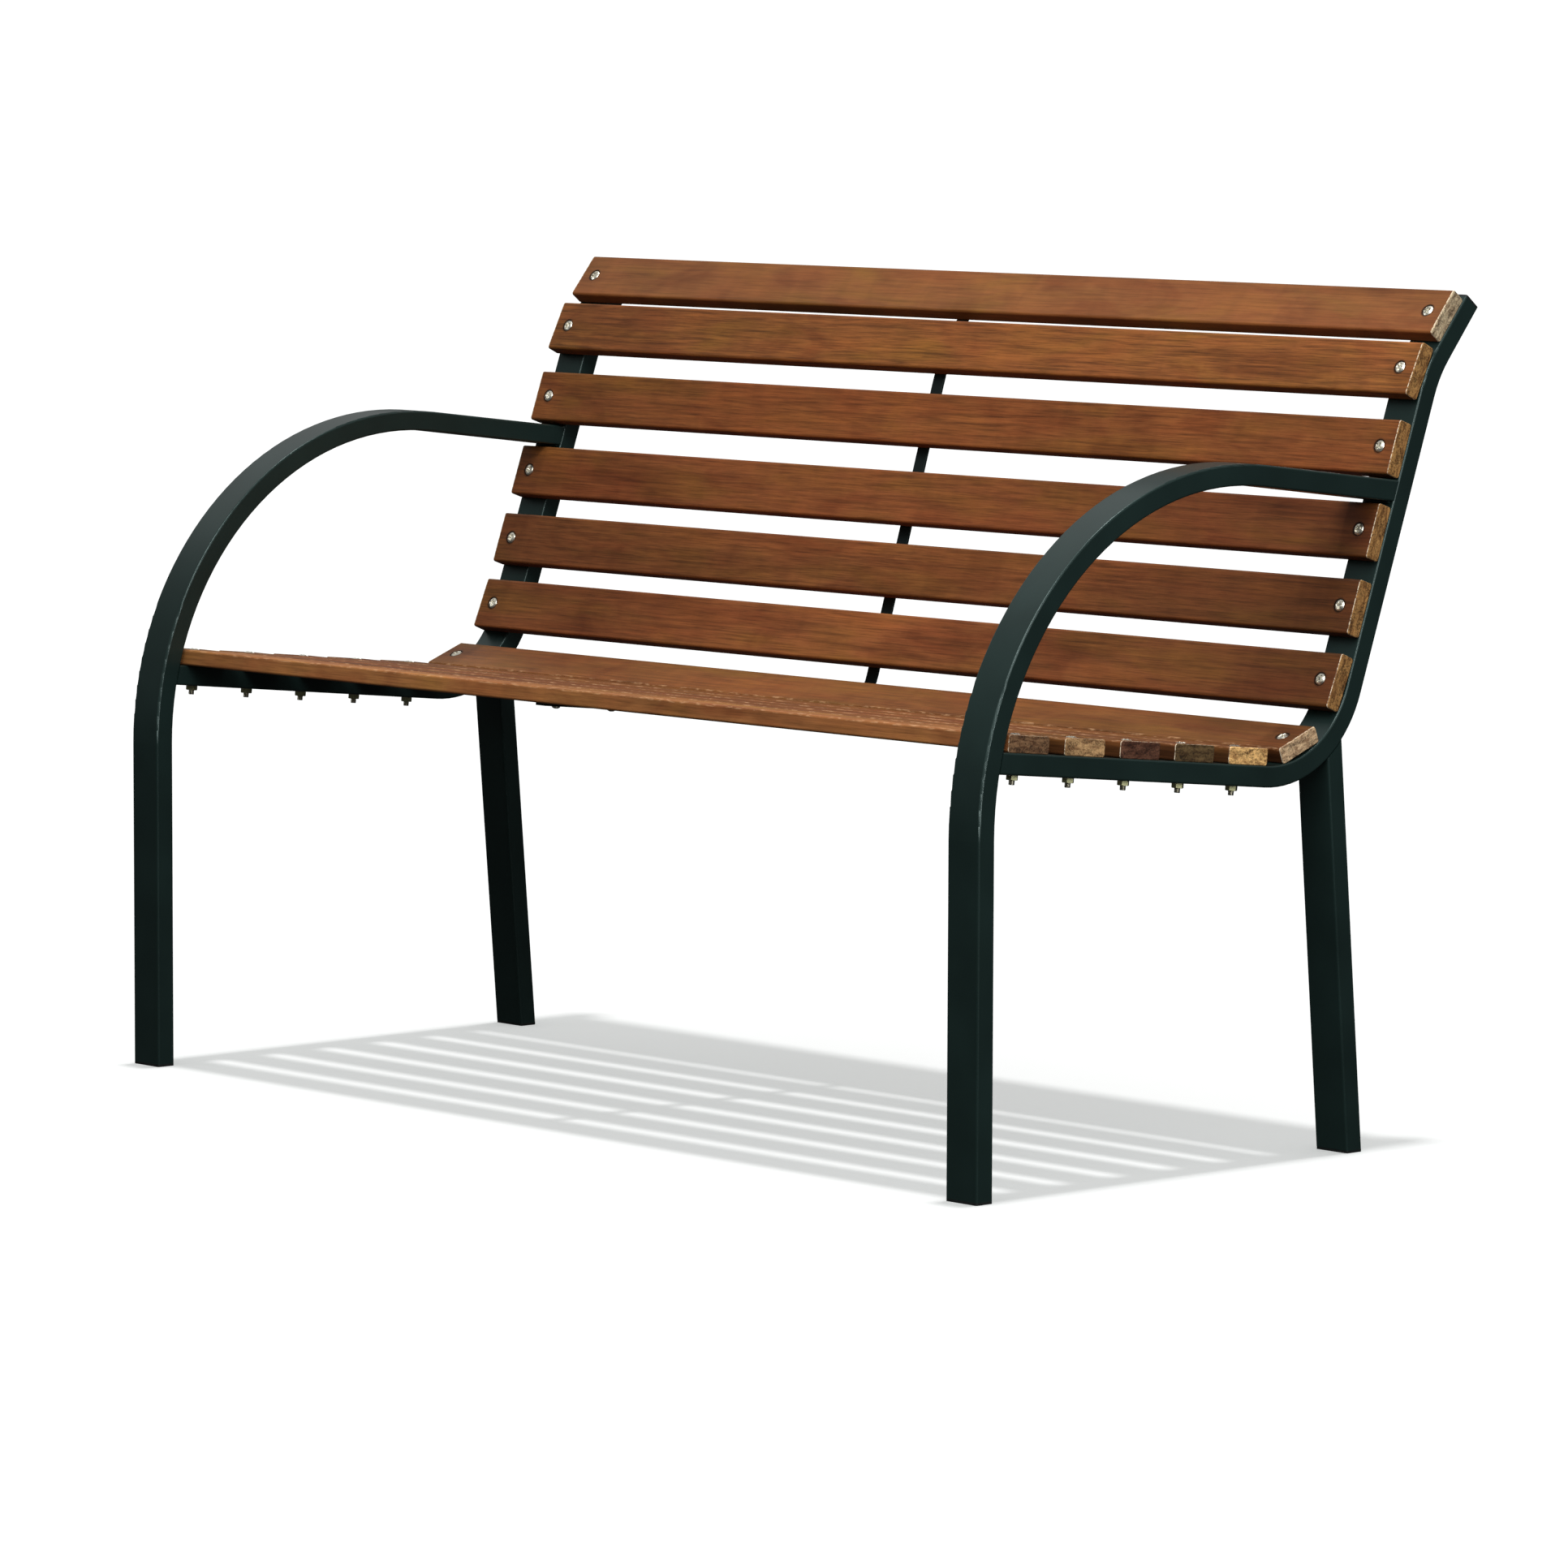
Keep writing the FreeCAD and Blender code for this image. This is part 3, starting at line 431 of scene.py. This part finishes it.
def end_masks(board):
    """Factors of the sawn end and of the pale edge round it, which is partly bared wood and partly painted
    highlight on the eased edge.
    """
    half_length = board.place.half_length
    past_end = board.maths("SUBTRACT", board.from_middle, half_length - 0.75 * END_EASE)
    end = board.maths("DIVIDE", past_end, 0.35 * END_EASE, clamp=True)
    past_edge = board.maths("SUBTRACT", board.from_middle, half_length - 1.5 * END_EASE)
    at_edge = board.maths("DIVIDE", past_edge, 0.4 * END_EASE, clamp=True)
    edge_only = board.maths("SUBTRACT", at_edge, end, clamp=True)
    patches = board.ramp(board.field("end_edge_wear_and_highlight"), [(0.40, 0.15), (0.54, 1.0)])
    return end, board.maths("MULTIPLY", edge_only, patches)


def timber(name):
    """Stained, oiled hardwood with sawn ends, pale end edges that are partly worn and partly painted
    highlight, painted highlight and painted shade at the seat gaps, and painted shade round its bolts.
    """
    board = Board(name)
    tree, bsdf = board.tree, board.bsdf
    fibre = board.field("fibre")
    pores = board.field("pores")
    # painted shade round the bolt heads
    face = board.multiplied(stained_face(board, fibre, pores), painted_bolt_recess_shade(board))
    if name in GAP_SIDES:
        # painted shade low on the sides that face the gaps
        face = board.multiplied(face, painted_gap_shade(board, GAP_SIDES[name]))
        # painted highlight along the upper front edge
        face = blended(tree, painted_arris_highlight(board), face, (*linear(*ARRIS_HIGHLIGHT_TONE), 1.0))
    end, end_edge_wear_and_highlight = end_masks(board)
    coloured = blended(tree, end, face, sawn_end(board))
    # pale end edge: partly bared wood, partly painted highlight
    coloured = blended(tree, end_edge_wear_and_highlight, coloured, (*linear(*END_EDGE_WEAR_AND_HIGHLIGHT_TONE), 1.0))
    tree.links.new(coloured, bsdf.inputs["Base Color"])

    rough = board.maths("MULTIPLY_ADD", fibre, 0.16, 0.42)
    tree.links.new(board.maths("MULTIPLY_ADD", end, 0.3, rough), bsdf.inputs["Roughness"])
    bsdf.inputs["Specular IOR Level"].default_value = 0.2
    relief = board.maths("MULTIPLY_ADD", fibre, 0.6, board.maths("MULTIPLY", pores, 0.4))
    bumped(tree, bsdf, relief, 0.12 * MM, 0.7)
    return board.material


def powder_coat(name, tone, roughness, specular):
    """Satin powder coat with fine orange peel."""
    material, bsdf = shader(name)
    tree = material.node_tree
    base = linear(*tone)
    cloud = noise(tree, stretched(tree, (14, 14, 14)), detail=2.0)
    grit = noise(tree, stretched(tree, (900, 900, 900)), detail=2.0)
    dim = tuple(0.85 * part for part in base)
    bright = tuple(1.18 * part for part in base)
    tree.links.new(ramp(tree, cloud, [(0.3, dim), (0.7, bright)]), bsdf.inputs["Base Color"])
    tree.links.new(maths(tree, "MULTIPLY_ADD", grit, 0.10, roughness - 0.05), bsdf.inputs["Roughness"])
    bsdf.inputs["Specular IOR Level"].default_value = specular
    bsdf.inputs["Specular Tint"].default_value = (0.80, 1.0, 0.97, 1.0)
    bumped(tree, bsdf, grit, 0.05 * MM, 0.5)
    return material


def plated(name, tone, roughness):
    """Plated steel with faint cloudy stains."""
    material, bsdf = shader(name)
    tree = material.node_tree
    base = linear(*tone)
    cloud = noise(tree, stretched(tree, (420, 420, 420)), detail=3.0)
    dull = tuple(0.62 * part for part in base)
    tree.links.new(ramp(tree, cloud, [(0.35, dull), (0.6, base)]), bsdf.inputs["Base Color"])
    tree.links.new(maths(tree, "MULTIPLY_ADD", cloud, 0.2, roughness), bsdf.inputs["Roughness"])
    bsdf.inputs["Metallic"].default_value = 1.0
    bumped(tree, bsdf, cloud, 0.02 * MM, 0.4)
    return material


def moulded(name, tone):
    """Dull moulded plastic with a spark-eroded grain."""
    material, bsdf = shader(name)
    tree = material.node_tree
    base = linear(*tone)
    grain = add(tree, "TexVoronoi", {"Vector": stretched(tree, (1400, 1400, 1400)), "Scale": 1.0})
    scuff = noise(tree, stretched(tree, (160, 160, 160)), detail=4.0, roughness=0.7)
    pale = tuple(1.8 * part for part in base)
    tree.links.new(ramp(tree, scuff, [(0.45, base), (0.75, pale)]), bsdf.inputs["Base Color"])
    tree.links.new(maths(tree, "MULTIPLY_ADD", scuff, 0.2, 0.45), bsdf.inputs["Roughness"])
    bsdf.inputs["Specular IOR Level"].default_value = 0.3
    bumped(tree, bsdf, grain.outputs["Distance"], 0.03 * MM, 0.5)
    return material


PAINT = powder_coat("frame_powder_coat", (23, 37, 35), 0.30, 0.45)
STRAP_PAINT = powder_coat("strap_powder_coat", (22, 29, 29), 0.5, 0.2)
ZINC = plated("bright_zinc", (236, 232, 216), 0.24)
YELLOW_ZINC = plated("yellow_zinc", (208, 208, 162), 0.35)
PLASTIC = moulded("plug_plastic", (20, 23, 23))


# ---------------------------------------------------------------- fasteners

# Millimetres and degrees; head and radius are radii, rim and height are the head's
BOLT = {"radius": 3.0, "head": 5.75, "rim": 0.9, "height": 2.7, "thread": 16.0, "pitch": 1.0,
        "depth": 0.55, "cross": 7.2, "slot": 2.3, "recess": 2.3, "wall": 0.35, "slope": 0.55}
NUT = {"flats": 10.0, "hole": 2.75, "chamfer": 30.0, "mouth": 0.4}
BOLT_CORNERS = 48
NUT_CORNERS = 72
ROWS_PER_TURN = 6
# Turn of each side's first fastener about its axis, and what each next one adds, in radians
FIRST_TWIST = {"left": 0.85, "right": 0.35}
TWIST_STEP = 1.1


def circle(radius, z, count=BOLT_CORNERS, wave=None):
    """Ring of points; wave gives an added radius at each angle."""
    ring = []
    for step in range(count):
        angle = 2 * math.pi * step / count
        reach = radius + (wave(angle) if wave else 0.0)
        ring.append((reach * math.cos(angle), reach * math.sin(angle), z))
    return ring


def cross_depth(x, y, size):
    """Depth of a cross recess at a place on the head: sloping walls, deepest at the middle."""
    half_slot = size["slot"] / 2
    half_cross = size["cross"] / 2
    across, along = sorted((abs(x), abs(y)))
    inside = min(half_slot - across, half_cross - along)
    taper = 1.0 - size["slope"] * along / half_cross
    return size["recess"] * taper * min(1.0, max(0.0, inside / size["wall"]))


def head_rings(size):
    """Domed head with a cross recess, from the middle of its top down to its bearing face."""
    dome = size["height"] - size["rim"]
    sphere = (size["head"] ** 2 + dome ** 2) / (2 * dome)
    base = size["height"] - sphere
    radii = [0.05, 0.35, 0.6, 0.8, 1.0, 1.3, 1.6, 1.9, 2.2, 2.5, 2.8, 3.0, 3.3, 3.8, 4.4, 5.0]
    rings = []
    for radius in radii + [0.97 * size["head"]]:
        ring = []
        for x, y, _z in circle(radius, 0.0):
            surface = base + math.sqrt(sphere ** 2 - radius ** 2)
            ring.append((x, y, surface - cross_depth(x, y, size)))
        rings.append(ring)
    rings.append(circle(size["head"], 0.9 * size["rim"]))
    rings.append(circle(size["head"], 0.1))
    rings.append(circle(size["head"] - 0.1, 0.0))
    return rings


def thread_rings(size, length):
    """Helical thread on the shank's last part, with a chamfered tip."""
    start = -(length - size["thread"])
    rings = [circle(size["radius"], 0.0), circle(size["radius"], start)]
    rows = int(size["thread"] / size["pitch"] * ROWS_PER_TURN)
    for row in range(1, rows + 1):
        z = start - size["thread"] * row / rows
        to_tip = length + z
        limit = size["radius"] - size["depth"] * max(0.0, 1.0 - to_tip / size["pitch"])

        def wave(angle):
            turn = (z / size["pitch"] + angle / (2 * math.pi)) % 1.0
            groove = size["depth"] * (1.0 - abs(2.0 * turn - 1.0))
            return min(0.0, size["radius"] - groove - limit)

        rings.append(circle(limit, z, wave=wave))
    return rings


def bolt_parts(size, length):
    """Bolt with its head's bearing face at Z 0 and its shank towards -Z."""
    vertices, faces = skin(head_rings(size) + thread_rings(size, length))
    return [tuple(MM * part for part in point) for point in vertices], faces


def hex_radius(angle, flats):
    """Distance from the axis to a hexagon's side at an angle."""
    return flats / 2 / math.cos((angle + math.pi / 6) % (math.pi / 3) - math.pi / 6)


def nut_parts(size, height):
    """Chamfered hex nut with its bearing face at Z 0 and its body towards +Z."""
    flats = size["flats"]
    face = 0.485 * flats
    slope = math.tan(math.radians(size["chamfer"]))

    def outline(angle):
        return hex_radius(angle, flats)

    def ring(radius_at, z_at):
        points = []
        for step in range(NUT_CORNERS):
            angle = 2 * math.pi * step / NUT_CORNERS
            radius = radius_at(angle)
            points.append((radius * math.cos(angle), radius * math.sin(angle), z_at(angle)))
        return points

    def drop(angle):
        return max(0.05, (outline(angle) - face) * slope)

    rings = [
        ring(lambda angle: size["hole"] + size["mouth"], lambda angle: height),
        ring(lambda angle: face, lambda angle: height),
        ring(outline, lambda angle: height - drop(angle)),
        ring(outline, drop),
        ring(lambda angle: face, lambda angle: 0.0),
        ring(lambda angle: size["hole"] + size["mouth"], lambda angle: 0.0),
        ring(lambda angle: size["hole"], lambda angle: size["mouth"]),
        ring(lambda angle: size["hole"], lambda angle: height - size["mouth"]),
    ]
    vertices, faces = skin(rings, wrap=True)
    return [tuple(MM * part for part in point) for point in vertices], faces


def fasteners():
    """Threaded bolts with cross-recessed heads, and chamfered nuts, where the CAD ones are."""
    for side in SIDES:
        x = frame_x(side)
        for area, names in (("seat", SEAT_SLATS), ("back", BACK_SLATS)):
            bolts, nuts = [], []
            for number, name in enumerate(names):
                place = PLACES[name]
                node = "%s_%s_bolts" % (side, area)
                tip, top = place.span(node, x)
                under_head = top - BOLT["height"] * MM
                twist = Matrix.Rotation(FIRST_TWIST[side] + TWIST_STEP * number, 4, "Z")
                vertices, faces = bolt_parts(BOLT, (under_head - tip) / MM)
                bolts.append((vertices, faces, place.axes(x, under_head) @ twist))
                far, near = place.span("%s_%s_nuts" % (side, area), x)
                vertices, faces = nut_parts(NUT, (near - far) / MM)
                nuts.append((vertices, faces, place.axes(x, near, flip=True) @ twist))
            piece("%s_%s_threaded_bolts" % (side, area), bolts, "%s_%s_bolts" % (side, area), ZINC)
            piece("%s_%s_hex_nuts" % (side, area), nuts, "%s_%s_nuts" % (side, area),
                  YELLOW_ZINC)


# ---------------------------------------------------------------- weld beads

# Least distance between two beads, ripple pitch and length of the tapered ends
BEAD_APART = 10 * MM
RIPPLE = 1.7 * MM
BEAD_TAPER = 3 * MM
BEAD_CORNERS = 16
BEAD_STATIONS = 100


def bead_groups(name):
    """Vertices of a CAD node's weld beads, one array for each bead."""
    points = node_points(name)
    groups = []
    for point in points:
        for group in groups:
            if math.hypot(point[1] - group[0][1], point[2] - group[0][2]) < BEAD_APART:
                group.append(point)
                break
        else:
            groups.append([point])
    return [np.array(group) for group in groups]


def reach_of(outline, centre, angle):
    """Distance from the centre to the edge of a convex outline along an angle."""
    direction = np.array((math.cos(angle), math.sin(angle)))
    order = np.argsort(np.arctan2(outline[:, 1] - centre[1], outline[:, 0] - centre[0]))
    ordered = outline[order]
    best = 0.0
    for first, second in zip(ordered, np.roll(ordered, -1, axis=0)):
        side = second - first
        bottom = direction[0] * side[1] - direction[1] * side[0]
        if abs(bottom) < 1e-12:
            continue
        offset = first - centre
        distance = (offset[0] * side[1] - offset[1] * side[0]) / bottom
        share = (offset[0] * direction[1] - offset[1] * direction[0]) / bottom
        if distance > 0 and -1e-6 <= share <= 1 + 1e-6:
            best = max(best, distance)
    return best


def bead_parts(group, phase):
    """A weld bead with overlapping ripples, rounded between its toes and tapered at its ends."""
    outline = np.unique(group[:, 1:].round(5), axis=0)
    centre = outline.mean(0)
    low, high = group[:, 0].min(), group[:, 0].max()
    angles = [2 * math.pi * step / BEAD_CORNERS for step in range(BEAD_CORNERS)]
    reach = np.array([reach_of(outline, centre, angle) for angle in angles])
    rounded = 0.55 * reach + 0.45 * reach.mean()
    rings = []
    for station in range(BEAD_STATIONS + 1):
        x = low + (high - low) * station / BEAD_STATIONS
        from_end = min(x - low, high - x) / BEAD_TAPER
        taper = math.sqrt(max(0.02, 1.0 - (1.0 - min(1.0, from_end)) ** 2))
        saw = ((x - low) / RIPPLE + phase) % 1.0
        ripple = 1.0 + 0.10 * (1.0 - saw) ** 1.5 + 0.03 * math.sin(5 * x / RIPPLE + 9 * phase)
        rings.append([(x, centre[0] + radius * taper * ripple * math.cos(angle),
                       centre[1] + radius * taper * ripple * math.sin(angle))
                      for radius, angle in zip(rounded, angles)])
    vertices, faces = skin(rings)
    return vertices, faces, Matrix.Identity(4)


def weld_beads():
    """Rippled beads in place of the CAD ones, each side's with its own phases."""
    for side in SIDES:
        node = side + "_weld_beads"
        parts = [bead_parts(group, 0.37 * number) for number, group in enumerate(bead_groups(node))]
        piece(side + "_rippled_welds", parts, node, PAINT, sharp=70)


# ---------------------------------------------------------------- finishes on the CAD nodes

def finish_node(name, material):
    """Gives a CAD node its material."""
    materials = NODES[name].data.materials
    materials.clear()
    materials.append(material)


def finishes():
    for name in SLATS:
        finish_node(name, timber(name))
    for side in SIDES:
        for part in ("front_leg_arm", "back_rail", "rear_leg"):
            finish_node("%s_%s" % (side, part), PAINT)
        for part in ("front_foot_plug", "rear_foot_plug", "rail_end_cap"):
            finish_node("%s_%s" % (side, part), PLASTIC)
    finish_node("centre_strap", STRAP_PAINT)
    for name in ("strap_screws", "long_strap_screws"):
        finish_node(name, ZINC)


# ---------------------------------------------------------------- floor, light and camera

FLOOR_RADIUS = 40.0
FLOOR_CORNERS = 96
CAMERA = {"azimuth": 47.643, "elevation": 5.785, "roll": 0.197, "distance": 7.390, "lens": 175.03,
          "aim": (0.0, 0.0039, 0.3075)}


def floor():
    """Pale floor that glows a little, so that only its shadow is darker than white."""
    material, bsdf = shader("pale_floor")
    tree = material.node_tree
    patches = noise(tree, stretched(tree, (0.8, 0.8, 0.8)), detail=2.0)
    tree.links.new(ramp(tree, patches, [(0.3, 0.80), (0.7, 0.82)]), bsdf.inputs["Base Color"])
    bsdf.inputs["Emission Color"].default_value = (0.97, 1.0, 0.985, 1.0)
    bsdf.inputs["Emission Strength"].default_value = 0.45
    bsdf.inputs["Roughness"].default_value = 0.9
    bsdf.inputs["Specular IOR Level"].default_value = 0.0
    vertices = circle(FLOOR_RADIUS, 0.0, FLOOR_CORNERS)
    mesh = bpy.data.meshes.new("studio_floor")
    mesh.from_pydata(vertices, [], [tuple(range(len(vertices)))])
    mesh.materials.append(material)
    made = bpy.data.objects.new("studio_floor", mesh)
    made.visible_diffuse = False
    made.visible_glossy = False
    bpy.context.scene.collection.objects.link(made)
    made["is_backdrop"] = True


def studio_world():
    """White backdrop for the camera, and a dimmer sky, brighter overhead, that lights the bench."""
    world = bpy.data.worlds.new("studio")
    world.use_nodes = True
    tree = world.node_tree
    tree.nodes.clear()
    height = add(tree, "SeparateXYZ", {"Vector": add(tree, "TexCoord").outputs["Generated"]}).outputs["Z"]
    sky = ramp(tree, maths(tree, "MULTIPLY_ADD", height, 0.5, 0.5),
               [(0.45, 0.03), (0.54, 0.10), (0.70, 0.15), (0.84, 0.42), (1.0, 0.60)])
    lit = add(tree, "Background", {"Color": sky, "Strength": 1.0})
    seen = add(tree, "Background", {"Color": (1, 1, 1, 1), "Strength": 1.1})
    by_camera = add(tree, "LightPath").outputs["Is Camera Ray"]
    mixed = add(tree, "MixShader", {0: by_camera, 1: lit.outputs[0], 2: seen.outputs[0]})
    output = add(tree, "OutputWorld")
    tree.links.new(mixed.outputs[0], output.inputs["Surface"])
    bpy.context.scene.world = world


def lamp(name, kind, direction, distance, strength, **settings):
    """A lamp that shines at the middle of the bench from a direction."""
    data = bpy.data.lights.new(name, kind)
    data.energy = strength
    for key, value in settings.items():
        setattr(data, key, value)
    made = bpy.data.objects.new(name, data)
    towards = Vector(direction).normalized()
    made.location = Vector(CAMERA["aim"]) + towards * distance
    made.rotation_mode = "QUATERNION"
    made.rotation_quaternion = towards.to_track_quat("Z", "Y")
    bpy.context.scene.collection.objects.link(made)
    return made


def lit_only(label, lamps, keep):
    """These lamps light only the objects that are kept."""
    lit = bpy.data.collections.new(label)
    for made in bpy.context.scene.objects:
        if made.type == "MESH" and keep(made):
            lit.objects.link(made)
    for made in lamps:
        made.light_linking.receiver_collection = lit


OVERHEAD = {"direction": (0.0, 0.058, 1.0), "distance": 5.0, "angle": math.radians(3.2)}
# Direction, distance, watts, width and height of each lamp
SOFTBOXES = {
    "front_softbox": ((0.35, -0.62, 0.85), 3.5, 50.0, 1.4, 1.4),
    "right_softbox": ((0.95, -0.15, 0.25), 3.5, 30.0, 1.6, 1.6),
    "left_softbox": ((-0.80, 0.15, 0.62), 3.0, 5.0, 2.6, 2.6),
    "rear_softbox": ((-0.25, 0.95, 0.30), 3.5, 32.0, 2.0, 2.0),
    "edge_strip": ((0.62, -0.50, 0.60), 3.5, 45.0, 0.18, 3.0),
}
CARDS = {
    "front_card": ((-0.73, -0.59, 0.33), 3.0, 14.0, 0.9, 0.9),
    "rear_card": ((-0.72, 0.66, 0.20), 3.0, 12.0, 1.2, 1.2),
}


def softboxes(table):
    return [lamp(name, "AREA", direction, distance, watts, shape="RECTANGLE", size=width, size_y=height)
            for name, (direction, distance, watts, width, height) in table.items()]


def lights():
    """A soft lamp overhead, stronger on the floor; softboxes for the bench, cards for its fasteners."""
    lamp("overhead", "SUN", strength=1.0, **OVERHEAD)
    over_floor = lamp("overhead_floor", "SUN", strength=0.36, **OVERHEAD)
    lit_only("lit_floor", [over_floor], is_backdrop)
    lit_only("lit_by_softboxes", softboxes(SOFTBOXES), lambda made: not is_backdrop(made))
    lit_only("lit_by_cards", softboxes(CARDS), lambda made: made.name.endswith(("_bolts", "_nuts")))


def camera():
    """Long lens, rolled a little, aimed at the bench from its front right."""
    azimuth = math.radians(CAMERA["azimuth"])
    elevation = math.radians(CAMERA["elevation"])
    ahead = Vector((-math.sin(azimuth) * math.cos(elevation), math.cos(azimuth) * math.cos(elevation),
                    -math.sin(elevation)))
    level = Vector((math.cos(azimuth), math.sin(azimuth), 0.0))
    above = level.cross(ahead)
    roll = Matrix.Rotation(math.radians(CAMERA["roll"]), 3, "Z")
    turn = Matrix((level, above, -ahead)).transposed() @ roll
    data = bpy.data.cameras.new("camera")
    data.lens = CAMERA["lens"]
    made = bpy.data.objects.new("camera", data)
    made.matrix_world = Matrix.Translation(Vector(CAMERA["aim"]) - ahead * CAMERA["distance"]) @ turn.to_4x4()
    bpy.context.scene.collection.objects.link(made)
    bpy.context.scene.camera = made


finishes()
fasteners()
weld_beads()
floor()
studio_world()
lights()
camera()
bpy.context.scene.view_settings.view_transform = "Standard"
